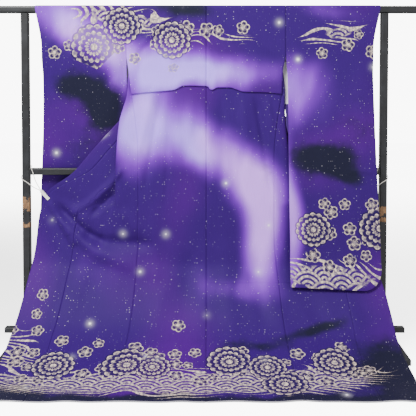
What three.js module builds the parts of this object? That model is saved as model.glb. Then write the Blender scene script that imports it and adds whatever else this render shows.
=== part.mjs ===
// A furisode hung by its sleeves over the top rail of a stand, back to the front of the frame.
// Millimetres, +Z up, +X to the right as the back is seen, -Y towards the viewer.
import * as THREE from 'three';

// Wall and seams
const WALL = 1.6;
const SEAM = 0.5;
const SIDE_GAP = 0.45;
const STAND_GAP = 0.5;

// Stand
const BAR = 29;
const RAIL_TOP = 1294;
const RAIL_HALF = 880;
const RAIL_CORNER = 9;
const POST_X = 705;
const MID_RAIL_TOP = 657;
const MID_RAIL_HIGH = 27;
const FOOT = { wide: 30, high: 30, tip: 21, front: 328, back: 300, level: 110, edge: 2 };
const TIE = { half: 768, high: 20, deep: 30, front: 97 };

// Garment
const NECK_HALF = 90;
const CENTRE_SEAM = 7;
const COLLAR_WIDE = 52;
const COLLAR_END = 750;
const COLLAR_TAPER = { from: 120, by: 0.8 };
const TURN_ROUND = 46;
const LEAST_RUN = 12;
const FOLD_BEGINS = -20;
const FOLD_FULL = 40;
const OKUMI_TOP = 240;
const OKUMI_WIDE = 150;
const OKUMI_FULL_AT = 600;
const OKUMI_START = 60;
const OKUMI_LEAST = 6;
const CUFF_OPENING = 230;
const CUFF_CLOSES = { before: 30, after: 50 };
const SLEEVE_LONG = 1091;
const SLEEVE_CORNER = 76;
const SLEEVE_EDGE_ROUND = 45;
const SLEEVE_RISE_FROM = 700;
const HEM = 1653;

// Cloth over the rail: half the flat top, then a quarter turn of this radius
const WRAP_FLAT = BAR / 2 - RAIL_CORNER;
const WRAP_RADIUS = RAIL_CORNER + STAND_GAP + WALL / 2;
const WRAP_START = RAIL_CORNER - WRAP_FLAT - WRAP_RADIUS * Math.PI / 2;
const RAIL_SIDE = WRAP_FLAT + WRAP_RADIUS;

// How the back hangs: drop is cloth length below the rail top, out is towards the viewer
const HANG = [
  { drop: RAIL_CORNER, out: RAIL_SIDE, z: RAIL_TOP - RAIL_CORNER },
  { drop: 190, out: 18, z: 1104 },
  { drop: 330, out: 26, z: 964 },
  { drop: 630, out: 45, z: 664 },
  { drop: 890, out: 56, z: 404 },
  { drop: 954, out: 64, z: 340 },
  { drop: 1001, out: 72, z: 294 },
  { drop: 1050, out: 92, z: 250 },
  { drop: 1125, out: 130, z: 185 },
  { drop: 1231, out: 200, z: 105 },
  { drop: 1292, out: 250, z: 70 },
  { drop: 1347, out: 300, z: 47 },
  { drop: 1400, out: 350, z: 30 },
  { drop: 1451, out: 400, z: 19 },
  { drop: 1532, out: 480, z: 4 },
  { drop: 1583, out: 530, z: WALL / 2 },
  { drop: HEM, out: 600, z: WALL / 2 },
];

// Side edge of the back and the fronts, left and right
const SIDE = [
  { drop: RAIL_CORNER, left: -320, right: 318 },
  { drop: 170, left: -306, right: 318 },
  { drop: 190, left: -306, right: 318 },
  { drop: 250, left: -298, right: 306 },
  { drop: 350, left: -285, right: 300 },
  { drop: 450, left: -270, right: 284 },
  { drop: 590, left: -260, right: 271 },
  { drop: 900, left: -260, right: 271 },
  { drop: 1075, left: -266, right: 284 },
  { drop: HEM, left: -300, right: 312 },
];

// Front panels: the cloth runs from its side edge out round a fold, back behind it, then to its free edge.
// fold, tuckX and edge are distances out from the middle. sideB, foldB, tuckB and edgeB are how far behind
// the back's own plane the cloth is at the side edge and at those three places.
const FRONT_LEFT = [
  { drop: RAIL_CORNER, fold: 250, tuckX: 180, edge: 90, sideB: 31.6, foldB: 31.6, tuckB: 31.6, edgeB: 31.6 },
  { drop: 170, fold: 262, tuckX: 160, edge: 92, sideB: 35.4, foldB: 37, tuckB: 38, edgeB: 38 },
  { drop: 260, fold: 299, tuckX: 130, edge: 138, sideB: 16, foldB: 22, tuckB: 34, edgeB: 39 },
  { drop: 350, fold: 304, tuckX: 150, edge: 236, sideB: 0, foldB: 5, tuckB: 20, edgeB: 33 },
  { drop: 400, fold: 318, tuckX: 180, edge: 286, sideB: 0, foldB: 4, tuckB: 16, edgeB: 29 },
  { drop: 452, fold: 332, tuckX: 212, edge: 338, sideB: 0, foldB: 4, tuckB: 14, edgeB: 26 },
  { drop: 560, fold: 343, tuckX: 268, edge: 436, sideB: 0, foldB: 4, tuckB: 14, edgeB: 24 },
  { drop: 650, fold: 347, tuckX: 300, edge: 514, sideB: 0, foldB: 4, tuckB: 13, edgeB: 22 },
  { drop: 739, fold: 348, tuckX: 328, edge: 624, sideB: 0, foldB: 4, tuckB: 12, edgeB: 24 },
  { drop: 850, fold: 352, tuckX: 400, edge: 653, sideB: 0, foldB: 4, tuckB: 10, edgeB: 26 },
  { drop: 950, fold: 356, tuckX: 440, edge: 662, sideB: 0, foldB: 2, tuckB: 6, edgeB: 22 },
  { drop: 1050, fold: 364, tuckX: 455, edge: 676, sideB: 0, foldB: 0, tuckB: 2, edgeB: 6 },
  { drop: 1125, fold: 370, tuckX: 465, edge: 684, sideB: 0, foldB: 0, tuckB: 0, edgeB: 0 },
  { drop: 1231, fold: 378, tuckX: 478, edge: 694, sideB: 0, foldB: 0, tuckB: 0, edgeB: 0 },
  { drop: 1292, fold: 384, tuckX: 486, edge: 699, sideB: 0, foldB: 0, tuckB: 0, edgeB: 0 },
  { drop: HEM, fold: 400, tuckX: 510, edge: 700, sideB: 0, foldB: 0, tuckB: 0, edgeB: 0 },
];
const FRONT_RIGHT = [
  { drop: RAIL_CORNER, fold: 262, tuckX: 190, edge: 90, sideB: 31.6, foldB: 31.6, tuckB: 31.6, edgeB: 31.6 },
  { drop: 170, fold: 272, tuckX: 165, edge: 92, sideB: 35.4, foldB: 37, tuckB: 38, edgeB: 38 },
  { drop: 260, fold: 308, tuckX: 130, edge: 138, sideB: 16, foldB: 24, tuckB: 35, edgeB: 40 },
  { drop: 350, fold: 314, tuckX: 150, edge: 236, sideB: 0, foldB: 12, tuckB: 24, edgeB: 34 },
  { drop: 400, fold: 314, tuckX: 180, edge: 286, sideB: 0, foldB: 12, tuckB: 21, edgeB: 30 },
  { drop: 452, fold: 316, tuckX: 205, edge: 338, sideB: 0, foldB: 12, tuckB: 19, edgeB: 27 },
  { drop: 560, fold: 328, tuckX: 258, edge: 436, sideB: 0, foldB: 12, tuckB: 18, edgeB: 25 },
  { drop: 650, fold: 336, tuckX: 292, edge: 514, sideB: 0, foldB: 12, tuckB: 17, edgeB: 24 },
  { drop: 739, fold: 342, tuckX: 328, edge: 628, sideB: 0, foldB: 12, tuckB: 17, edgeB: 25 },
  { drop: 850, fold: 356, tuckX: 400, edge: 655, sideB: 0, foldB: 12, tuckB: 18, edgeB: 26 },
  { drop: 950, fold: 366, tuckX: 440, edge: 664, sideB: 0, foldB: 10, tuckB: 15, edgeB: 22 },
  { drop: 1050, fold: 374, tuckX: 456, edge: 674, sideB: 0, foldB: 6, tuckB: 8, edgeB: 10 },
  { drop: 1125, fold: 380, tuckX: 468, edge: 688, sideB: 0, foldB: 2, tuckB: 3, edgeB: 4 },
  { drop: 1231, fold: 388, tuckX: 482, edge: 694, sideB: 0, foldB: 0, tuckB: 0, edgeB: 0 },
  { drop: 1292, fold: 392, tuckX: 490, edge: 692, sideB: 0, foldB: 0, tuckB: 0, edgeB: 0 },
  { drop: HEM, fold: 408, tuckX: 515, edge: 696, sideB: 0, foldB: 0, tuckB: 0, edgeB: 0 },
];

// Waist tuck in the back: the cloth comes down, turns up behind itself and comes down again
const TUCK = [
  { drop: 296, out: 3.6, hold: 0.9 },
  { drop: 326, out: 7.2, hold: 1 },
  { drop: 345, out: 7.8, hold: 1 },
  { drop: 347.4, out: 6.4, hold: 1 },
  { drop: 345, out: 5, hold: 1 },
  { drop: 314, out: 4.6, hold: 1 },
  { drop: 311.6, out: 3.2, hold: 1 },
  { drop: 314, out: 1.8, hold: 1 },
  { drop: 350, out: 1, hold: 1 },
];
const TUCK_EDGE = [
  { x: -300, rise: 0 },
  { x: -220, rise: 9 },
  { x: -121, rise: 18 },
  { x: -80, rise: 35 },
  { x: 10, rise: 33 },
  { x: 26, rise: 18 },
  { x: 52, rise: 28 },
  { x: 95, rise: 28 },
  { x: 154, rise: 11 },
  { x: 227, rise: 9 },
  { x: 320, rise: 0 },
];

// Sleeves: free outer edge, inner edge, and the place of the middle between the two walls
const SLEEVE_LEFT = [
  { drop: RAIL_CORNER, outer: -662, inner: -320, middle: 0, half: RAIL_SIDE },
  { drop: 170, outer: -637, inner: -306, middle: 0, half: 17.4 },
  { drop: 300, outer: -637, inner: -306, middle: 7, half: 12 },
  { drop: 450, outer: -641, inner: -308, middle: 18, half: 8 },
  { drop: 600, outer: -648, inner: -309, middle: 24, half: 5 },
  { drop: 760, outer: -655, inner: -311, middle: 25, half: 5 },
  { drop: 950, outer: -660, inner: -314, middle: 26, half: 6 },
  { drop: SLEEVE_LONG, outer: -664, inner: -318, middle: 27, half: 5 },
];
const SLEEVE_RIGHT = [
  { drop: RAIL_CORNER, outer: 686, inner: 318, middle: 0, half: RAIL_SIDE },
  { drop: 170, outer: 659, inner: 318, middle: 0, half: 17.4 },
  { drop: 300, outer: 660, inner: 324, middle: -13, half: 12 },
  { drop: 450, outer: 661, inner: 325, middle: -36, half: 8 },
  { drop: 600, outer: 665, inner: 326, middle: -51, half: 5 },
  { drop: 760, outer: 673, inner: 328, middle: -58, half: 5 },
  { drop: 950, outer: 680, inner: 330, middle: -72, half: 6 },
  { drop: 1000, outer: 680, inner: 329, middle: -81, half: 6 },
  { drop: 1045, outer: 679, inner: 328, middle: -102, half: 6 },
  { drop: SLEEVE_LONG, outer: 678, inner: 326, middle: -128, half: 5 },
];
const SLEEVE_BOTTOM_RISE = { left: 14, right: 15 };

// Folds drawn from each clip, as lines across the front panel: a positive depth is towards the viewer
const PULLS = [
  { x1: 632, drop1: 765, x2: 520, drop2: 905, wide: 30, depth: -9 },
  { x1: 640, drop1: 800, x2: 560, drop2: 960, wide: 26, depth: 7 },
  { x1: 600, drop1: 735, x2: 440, drop2: 800, wide: 32, depth: -7 },
  { x1: 420, drop1: 790, x2: 520, drop2: 860, wide: 34, depth: 8 },
];
const PULL_STRENGTH = { left: 1, right: 0.6 };
const PULL_ENDS = { start: 0.12, stretch: 0.8 };

// Clips: how deep they grip, how far their heel stands out, and their tilt from level
const CLIP = { drop: 747, grip: 30, bite: 20, heel: 16, jaw: 2.2, slot: 4.6, wide: 12, tilt: 0.82 };

// String: outward distance from the middle, depth and height, with both ends at the clip's heel
const STRING_RADIUS = 1.5;
const STRING_APART = 2.4;
const STRING_ROUTE = [
  { heel: -1 },
  { x: 674, y: -20.5, z: 584 },
  { x: 690, y: -16.6, z: 595 },
  { x: 706, y: -16.6, z: 606 },
  { x: 717.6, y: -17.2, z: 613 },
  { x: 722.2, y: -12, z: 620 },
  { x: 722.2, y: 11, z: 633 },
  { x: 717.6, y: 17.2, z: 641 },
  { x: 706, y: 16.7, z: 650 },
  { x: 694, y: 17, z: 659 },
  { x: 687, y: 13, z: 663.5 },
  { x: 686.5, y: -8, z: 664 },
  { x: 682.5, y: -16, z: 659 },
  { x: 675, y: -17.5, z: 639 },
  { x: 664, y: -20, z: 606 },
  { heel: 1 },
];

const smooth = (low, high, value) => THREE.MathUtils.smoothstep(value, low, high);

function hermite(t, start, startSlope, end, endSlope) {
  return (2 * t ** 3 - 3 * t ** 2 + 1) * start + (t ** 3 - 2 * t ** 2 + t) * startSlope
    + (3 * t ** 2 - 2 * t ** 3) * end + (t ** 3 - t ** 2) * endSlope;
}

// Monotone cubic curve through the named column of a table
function curve(table, column, key, at) {
  const last = table.length - 1;
  const x = (i) => table[i][key];
  const y = (i) => table[i][column];
  if (at <= x(0)) return y(0);
  if (at >= x(last)) return y(last);
  let i = 0;
  while (at > x(i + 1)) i += 1;
  const rise = (k) => (y(k + 1) - y(k)) / (x(k + 1) - x(k));
  const tangent = (k) => {
    if (k === 0) return rise(0);
    if (k === last) return rise(last - 1);
    const before = rise(k - 1);
    const after = rise(k);
    return before * after <= 0 ? 0 : 2 * before * after / (before + after);
  };
  const span = x(i + 1) - x(i);
  return hermite((at - x(i)) / span, y(i), span * tangent(i), y(i + 1), span * tangent(i + 1));
}

// Where cloth lies over the rail; side is -1 towards the viewer and 1 away
function overRail(drop, side) {
  const along = drop - WRAP_START;
  if (along <= WRAP_FLAT) return { y: side * along, z: RAIL_TOP + STAND_GAP + WALL / 2 };
  const angle = (along - WRAP_FLAT) / WRAP_RADIUS;
  return {
    y: side * (WRAP_FLAT + WRAP_RADIUS * Math.sin(angle)),
    z: RAIL_TOP - RAIL_CORNER + WRAP_RADIUS * Math.cos(angle),
  };
}

const hangOut = (drop) => curve(HANG, 'out', 'drop', drop);
const hangZ = (drop) => curve(HANG, 'z', 'drop', drop);

// Depth of the folds that the clips draw in a front panel
function pulls(x, drop) {
  let depth = 0;
  for (const line of PULLS) {
    const ax = line.x2 - line.x1;
    const ay = line.drop2 - line.drop1;
    const along = ((x - line.x1) * ax + (drop - line.drop1) * ay) / (ax ** 2 + ay ** 2);
    const t = THREE.MathUtils.clamp(along, 0, 1);
    const away = Math.hypot(x - line.x1 - t * ax, drop - line.drop1 - t * ay) / line.wide;
    const swell = Math.sin(Math.PI * (PULL_ENDS.start + PULL_ENDS.stretch * t));
    depth += line.depth * swell * Math.exp(-away * away);
  }
  return depth;
}

// A point of the back; across runs from the centre seam at 0 to the side edge at 1
function backPoint(side, row, across) {
  const edge = curve(SIDE, side < 0 ? 'left' : 'right', 'drop', row.drop);
  const x = THREE.MathUtils.lerp(CENTRE_SEAM, edge, across);
  if (row.drop < RAIL_CORNER) {
    const over = overRail(row.drop, -1);
    return new THREE.Vector3(x, over.y, over.z);
  }
  const drop = row.drop - (row.hold ?? 0) * curve(TUCK_EDGE, 'rise', 'x', x);
  return new THREE.Vector3(x, -hangOut(drop) - (row.out ?? 0), hangZ(drop));
}

// Half section of one front at a drop: the four named places and the cloth length between them
function frontSection(side, drop) {
  const table = side < 0 ? FRONT_LEFT : FRONT_RIGHT;
  const at = (column) => curve(table, column, 'drop', drop);
  const edge = Math.abs(curve(SIDE, side < 0 ? 'left' : 'right', 'drop', drop));
  const places = [
    { x: edge, behind: at('sideB') },
    { x: at('fold'), behind: at('foldB') },
    { x: at('tuckX'), behind: at('tuckB') },
    { x: at('edge'), behind: at('edgeB') },
  ];
  places[0].length = 0;
  for (let i = 1; i < places.length; i += 1) {
    const step = Math.hypot(places[i].x - places[i - 1].x, places[i].behind - places[i - 1].behind);
    places[i].length = places[i - 1].length + Math.max(step, LEAST_RUN);
  }
  // How far the cloth doubles back at its two turns, from 0 for flat to 1 for a full fold
  const [a, b, c, d] = places.map((place) => place.x);
  const doubled = smooth(FOLD_BEGINS, FOLD_FULL, b - c);
  places[1].turn = smooth(0, LEAST_RUN, b - a) * doubled;
  places[2].turn = doubled * smooth(0, FOLD_FULL, d - c);
  return places;
}

// Depth across a front section: flat between its places, and rounded where it doubles back
function behind(places, length) {
  const at = THREE.MathUtils.clamp(length, 0, places[3].length);
  let i = 0;
  while (i < 2 && at > places[i + 1].length) i += 1;
  const span = places[i + 1].length - places[i].length;
  const slope = (k) => {
    if (k === 0 || k === 3) return 0;
    const natural = span * (places[k + 1].behind - places[k - 1].behind)
      / (places[k + 1].length - places[k - 1].length);
    return THREE.MathUtils.lerp(natural, TURN_ROUND, places[k].turn);
  };
  const t = (at - places[i].length) / span;
  return hermite(t, places[i].behind, slope(i), places[i + 1].behind, slope(i + 1));
}

// A point of a front panel, length being cloth width from the side edge
function frontPoint(side, drop, length) {
  const places = frontSection(side, Math.max(drop, RAIL_CORNER));
  const x = curve(places, 'x', 'length', length);
  if (drop < RAIL_CORNER) {
    const over = overRail(drop, 1);
    return new THREE.Vector3(side * x, over.y, over.z);
  }
  const drawn = PULL_STRENGTH[side < 0 ? 'left' : 'right'] * pulls(x, drop);
  return new THREE.Vector3(side * x, -(hangOut(drop) - behind(places, length) + drawn), hangZ(drop));
}

// The same point with the direction across the cloth there, so that walls either side of a seam agree
function frontCell(side, drop, length) {
  const point = frontPoint(side, drop, length);
  point.step = frontPoint(side, drop, length + WALL).sub(frontPoint(side, drop, length - WALL));
  return point;
}

const frontWidth = (side, drop) => frontSection(side, Math.max(drop, RAIL_CORNER))[3].length;
const collarSeam = (side, drop) => {
  const taper = COLLAR_TAPER.by * smooth(COLLAR_END - COLLAR_TAPER.from, COLLAR_END, drop);
  const wide = COLLAR_WIDE * (1 - taper);
  return frontWidth(side, drop) - (drop > COLLAR_END ? 0 : wide);
};
const okumiSeam = (side, drop) => {
  const wide = OKUMI_WIDE * smooth(OKUMI_TOP - OKUMI_START, OKUMI_FULL_AT, drop);
  return collarSeam(side, drop) - Math.max(OKUMI_LEAST, wide);
};

// A sleeve wall's point; layer is -1 for the wall towards the viewer and 1 for the far one
function sleevePoint(side, layer, drop, across) {
  const table = side < 0 ? SLEEVE_LEFT : SLEEVE_RIGHT;
  const row = Math.max(drop, RAIL_CORNER);
  const at = (column) => curve(table, column, 'drop', row);
  const above = SLEEVE_LONG - drop;
  const inset = above < SLEEVE_CORNER
    ? SLEEVE_CORNER - Math.sqrt(SLEEVE_CORNER ** 2 - (SLEEVE_CORNER - above) ** 2) : 0;
  const x = THREE.MathUtils.lerp(at('inner') + side * SEAM, at('outer') - side * inset, across);
  if (drop < RAIL_CORNER) {
    const over = overRail(drop, layer);
    return new THREE.Vector3(x, over.y, over.z);
  }
  const closed = (WALL + SEAM) / 2;
  const fromEdge = Math.abs(x - at('outer') + side * inset);
  const rounded = (near) => Math.sqrt(1 - (1 - Math.min(1, near / SLEEVE_EDGE_ROUND)) ** 2);
  const sewn = smooth(CUFF_OPENING - CUFF_CLOSES.before, CUFF_OPENING + CUFF_CLOSES.after, drop);
  const open = rounded(above) * THREE.MathUtils.lerp(1, rounded(fromEdge), sewn);
  const half = closed + (at('half') - closed) * open;
  const fullRise = SLEEVE_BOTTOM_RISE[side < 0 ? 'left' : 'right'];
  const rise = fullRise * smooth(SLEEVE_RISE_FROM, SLEEVE_LONG, drop) * (1 - across);
  return new THREE.Vector3(x, at('middle') + layer * half, RAIL_TOP - drop + rise);
}

// A closed wall of cloth round a grid of middle points, rows down and columns across
function wall(grid, facing) {
  const rows = grid.length;
  const columns = grid[0].length;
  const positions = [];
  const front = [];
  const back = [];
  const step = new THREE.Vector3();
  const down = new THREE.Vector3();
  for (let i = 0; i < rows; i += 1) {
    front.push([]);
    back.push([]);
    for (let j = 0; j < columns; j += 1) {
      if (grid[i][j].step) step.copy(grid[i][j].step);
      else step.subVectors(grid[i][Math.min(j + 1, columns - 1)], grid[i][Math.max(j - 1, 0)]);
      down.subVectors(grid[Math.min(i + 1, rows - 1)][j], grid[Math.max(i - 1, 0)][j]);
      const normal = new THREE.Vector3().crossVectors(down, step).normalize().multiplyScalar(facing * WALL / 2);
      for (const [layer, sign] of [[front, 1], [back, -1]]) {
        const point = grid[i][j].clone().addScaledVector(normal, sign);
        layer[i].push(positions.length / 3);
        positions.push(point.x, point.y, point.z);
      }
    }
  }
  const index = [];
  const quad = (a, b, c, d) => index.push(a, b, c, a, c, d);
  for (let i = 0; i < rows - 1; i += 1) {
    for (let j = 0; j < columns - 1; j += 1) {
      quad(front[i][j], front[i + 1][j], front[i + 1][j + 1], front[i][j + 1]);
      quad(back[i][j], back[i][j + 1], back[i + 1][j + 1], back[i + 1][j]);
    }
  }
  for (let i = 0; i < rows - 1; i += 1) {
    quad(front[i][0], back[i][0], back[i + 1][0], front[i + 1][0]);
    quad(front[i][columns - 1], front[i + 1][columns - 1], back[i + 1][columns - 1], back[i][columns - 1]);
  }
  for (let j = 0; j < columns - 1; j += 1) {
    quad(front[0][j], front[0][j + 1], back[0][j + 1], back[0][j]);
    quad(front[rows - 1][j], back[rows - 1][j], back[rows - 1][j + 1], front[rows - 1][j + 1]);
  }
  if (facing < 0) {
    for (let k = 0; k < index.length; k += 3) {
      [index[k + 1], index[k + 2]] = [index[k + 2], index[k + 1]];
    }
  }
  const geometry = new THREE.BufferGeometry();
  geometry.setAttribute('position', new THREE.Float32BufferAttribute(positions, 3));
  geometry.setIndex(index);
  return geometry;
}

const spread = (count) => Array.from({ length: count + 1 }, (_, i) => i / count);
const stations = (from, to, step) => {
  const count = Math.max(1, Math.round((to - from) / step));
  return spread(count).map((t) => from + t * (to - from));
};

const RAIL_ROWS = stations(WRAP_START + SEAM / 2, RAIL_CORNER, 5.5);
const SKIRT_ROWS = [...stations(450, 1050, 75), ...stations(1110, 1590, 60), 1622, HEM];

// Materials
const plain = (color, roughness) => new THREE.MeshStandardMaterial({ color, roughness, metalness: 0 });
const cloth = (color) => plain(color, 0.62);
const lacquer = () => plain(0x17171a, 0.45);
const white = () => plain(0xece9e2, 0.5);

const group = new THREE.Group();
group.name = 'furisode_on_stand';
function add(name, geometry, material) {
  const mesh = new THREE.Mesh(geometry, material);
  mesh.name = name;
  group.add(mesh);
  return mesh;
}

// Back panels, from the shoulder line over the rail to the hem, with the waist tuck
function backPanel(name, side) {
  const rows = [
    ...RAIL_ROWS, ...stations(60, 225, 55),
  ].map((drop) => ({ drop }));
  rows.push({ drop: 262, out: 0.8, hold: 0.5 });
  rows.push(...TUCK, { drop: 392, hold: 0.4 }, ...SKIRT_ROWS.map((drop) => ({ drop })));
  const width = Math.abs(curve(SIDE, side < 0 ? 'left' : 'right', 'drop', 600) - CENTRE_SEAM);
  const columns = spread(6).map((t) => SEAM / 2 / width + t * (1 - SEAM / width));
  add(name, wall(rows.map((row) => columns.map((t) => backPoint(side, row, t))), side), cloth(0x5b3fa6));
}

// A strip of a front between two widths of cloth, each a function of the drop
function frontStrip(name, side, drops, from, to, columns, color) {
  const grid = drops.map((drop) => {
    const start = from(drop) + (from(drop) > 0 ? SEAM / 2 : SIDE_GAP);
    const end = to(drop) - SEAM / 2;
    return spread(columns).map((t) => frontCell(side, drop, THREE.MathUtils.lerp(start, end, t)));
  });
  add(name, wall(grid, side), cloth(color));
}

function front(label, side) {
  const shoulder = [...RAIL_ROWS, 60, 115, 170, 212];
  const chest = [OKUMI_TOP, 270, 305, 350, 400];
  const upper = [...shoulder, ...chest];
  const okumiRows = [...chest, ...SKIRT_ROWS];
  const split = (drop) => (drop < OKUMI_TOP ? collarSeam(side, drop) : okumiSeam(side, drop));
  frontStrip(`front_${label}`, side, [...upper, ...SKIRT_ROWS], () => 0, split, 10, 0x5536a0);
  const okumiEnd = (drop) => collarSeam(side, drop);
  frontStrip(`okumi_${label}`, side, okumiRows, (drop) => okumiSeam(side, drop), okumiEnd, 4, 0x4c3595);
  const collarRows = [...upper, ...SKIRT_ROWS.filter((drop) => drop <= COLLAR_END)];
  frontStrip(`collar_${label}`, side, collarRows, okumiEnd, (drop) => frontWidth(side, drop), 2, 0x6a4bb4);
}

// Collar behind the neck, from the shoulder line down the far side of the rail
function neckCollar() {
  const drops = [...RAIL_ROWS, 30, COLLAR_WIDE];
  const columns = spread(6).map((t) => (NECK_HALF - SEAM) * (2 * t - 1));
  const grid = drops.map((drop) => columns.map((x) => {
    const over = drop < RAIL_CORNER ? overRail(drop, 1) : { y: RAIL_SIDE, z: RAIL_TOP - drop };
    return new THREE.Vector3(x, over.y, over.z);
  }));
  add('collar_neck', wall(grid, -1), cloth(0x6a4bb4));
}

function sleeve(label, side) {
  const drops = [
    ...RAIL_ROWS, 60, 115, 170, 205, 245, 300, 375, 450, 525, 600, 720, 840, 960,
    ...[76, 55, 36, 20, 9, 2, 0].map((above) => SLEEVE_LONG - above),
  ];
  const columns = [0, 0.22, 0.45, 0.68, 0.88, 0.95, 0.985, 1];
  for (const [face, layer] of [['back', -1], ['front', 1]]) {
    const grid = drops.map((drop) => columns.map((t) => sleevePoint(side, layer, drop, t)));
    add(`sleeve_${label}_${face}`, wall(grid, -layer * side), cloth(0x53389c));
  }
}

// Bars of the stand, with rounded edges
function bar(name, wide, deep, long, corner, place, turn) {
  const w = wide / 2;
  const d = deep / 2;
  const shape = new THREE.Shape();
  shape.moveTo(-w + corner, -d);
  shape.lineTo(w - corner, -d);
  shape.absarc(w - corner, -d + corner, corner, -Math.PI / 2, 0, false);
  shape.lineTo(w, d - corner);
  shape.absarc(w - corner, d - corner, corner, 0, Math.PI / 2, false);
  shape.lineTo(-w + corner, d);
  shape.absarc(-w + corner, d - corner, corner, Math.PI / 2, Math.PI, false);
  shape.lineTo(-w, -d + corner);
  shape.absarc(-w + corner, -d + corner, corner, Math.PI, Math.PI * 1.5, false);
  const geometry = new THREE.ExtrudeGeometry(shape, { depth: long, bevelEnabled: false, curveSegments: 3 });
  geometry.translate(0, 0, -long / 2);
  const mesh = add(name, geometry, lacquer());
  mesh.position.copy(place);
  mesh.rotation.set(...turn);
}

// A foot: flat below, level on top under the post and the tie, and sloping down to both tips
function foot(name, x) {
  const shape = new THREE.Shape();
  shape.moveTo(-FOOT.back + FOOT.edge, FOOT.edge);
  shape.lineTo(FOOT.front - FOOT.edge, FOOT.edge);
  shape.lineTo(FOOT.front - FOOT.edge, FOOT.tip - FOOT.edge);
  shape.lineTo(FOOT.level, FOOT.high - FOOT.edge);
  shape.lineTo(-FOOT.level, FOOT.high - FOOT.edge);
  shape.lineTo(-FOOT.back + FOOT.edge, FOOT.tip - FOOT.edge);
  const geometry = new THREE.ExtrudeGeometry(shape, {
    depth: FOOT.wide - 2 * FOOT.edge, bevelSize: FOOT.edge, bevelThickness: FOOT.edge, bevelSegments: 2,
  });
  geometry.translate(0, 0, FOOT.edge - FOOT.wide / 2);
  const mesh = add(name, geometry, lacquer());
  mesh.position.x = x;
  mesh.rotation.set(Math.PI / 2, -Math.PI / 2, 0, 'XYZ');
}

function stand() {
  const alongX = [0, Math.PI / 2, 0];
  const alongY = [Math.PI / 2, 0, 0];
  bar('top_rail', BAR, BAR, 2 * RAIL_HALF, RAIL_CORNER, new THREE.Vector3(0, 0, RAIL_TOP - BAR / 2), alongX);
  const midLong = 2 * POST_X - BAR - 2 * STAND_GAP;
  const midZ = MID_RAIL_TOP - MID_RAIL_HIGH / 2;
  bar('mid_rail', MID_RAIL_HIGH, BAR - 3, midLong, 5, new THREE.Vector3(0, 0, midZ), alongX);
  const postLow = FOOT.high + STAND_GAP;
  const postLong = RAIL_TOP - BAR - STAND_GAP - postLow;
  for (const [label, side] of [['left', -1], ['right', 1]]) {
    const post = new THREE.Vector3(side * POST_X, 0, postLow + postLong / 2);
    bar(`post_${label}`, BAR, BAR, postLong, 4, post, [0, 0, 0]);
    foot(`foot_${label}`, side * POST_X);
  }
  const tie = new THREE.Vector3(0, -TIE.front + TIE.deep / 2, FOOT.high + STAND_GAP + TIE.high / 2);
  bar('tie_rail', TIE.high, TIE.deep, 2 * TIE.half, 3, tie, alongX);
}

// Where a clip's jaws hold the cloth
function clipPlace(side) {
  return frontPoint(side, CLIP.drop, frontWidth(side, CLIP.drop) - CLIP.bite + CLIP.grip / 2);
}

// White clip that grips the lower end of a collar, its jaws either side of the cloth
function clip(label, side) {
  const half = CLIP.jaw + CLIP.slot / 2;
  const shape = new THREE.Shape();
  shape.moveTo(-CLIP.grip, -half);
  shape.lineTo(CLIP.heel - half, -half);
  shape.absarc(CLIP.heel - half, 0, half, -Math.PI / 2, Math.PI / 2, false);
  shape.lineTo(-CLIP.grip, half);
  shape.lineTo(-CLIP.grip, CLIP.slot / 2);
  shape.lineTo(0, CLIP.slot / 2);
  shape.lineTo(0, -CLIP.slot / 2);
  shape.lineTo(-CLIP.grip, -CLIP.slot / 2);
  const geometry = new THREE.ExtrudeGeometry(shape, { depth: CLIP.wide, bevelEnabled: false, curveSegments: 8 });
  geometry.translate(CLIP.grip / 2, 0, -CLIP.wide / 2);
  if (side < 0) geometry.rotateZ(Math.PI);
  geometry.rotateY(-side * CLIP.tilt);
  add(`clip_${label}`, geometry, white()).position.copy(clipPlace(side));
}

// String from the clip's heel, round the post and over the mid rail's end, back to the heel
function string(label, side) {
  const out = CLIP.grip / 2 + CLIP.heel + STAND_GAP;
  const heel = clipPlace(side);
  heel.x += side * out * Math.cos(CLIP.tilt);
  heel.z += out * Math.sin(CLIP.tilt);
  const route = STRING_ROUTE.map((stop) => {
    if (stop.heel) return new THREE.Vector3(heel.x, heel.y + stop.heel * STRING_APART, heel.z);
    return new THREE.Vector3(side * stop.x, stop.y, stop.z);
  });
  const section = new THREE.Shape();
  section.absarc(0, 0, STRING_RADIUS, 0, Math.PI * 2, false);
  const geometry = new THREE.ExtrudeGeometry(section, {
    steps: 28, bevelEnabled: false, curveSegments: 3, extrudePath: new THREE.CatmullRomCurve3(route),
  });
  add(`string_${label}`, geometry, white());
}

stand();
for (const [label, side] of [['left', -1], ['right', 1]]) {
  clip(label, side);
  string(label, side);
}
backPanel('back_left', -1);
backPanel('back_right', 1);
front('left', -1);
front('right', 1);
neckCollar();
sleeve('left', -1);
sleeve('right', 1);

group.updateMatrixWorld(true);
const extent = new THREE.Box3().setFromObject(group);
group.position.y = -(extent.min.y + extent.max.y) / 2;
group.updateMatrixWorld(true);

export default group;
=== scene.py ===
# A furisode hung on a black kimono stand, seen from the back. Metres, in the part's frame.
import math

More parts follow.
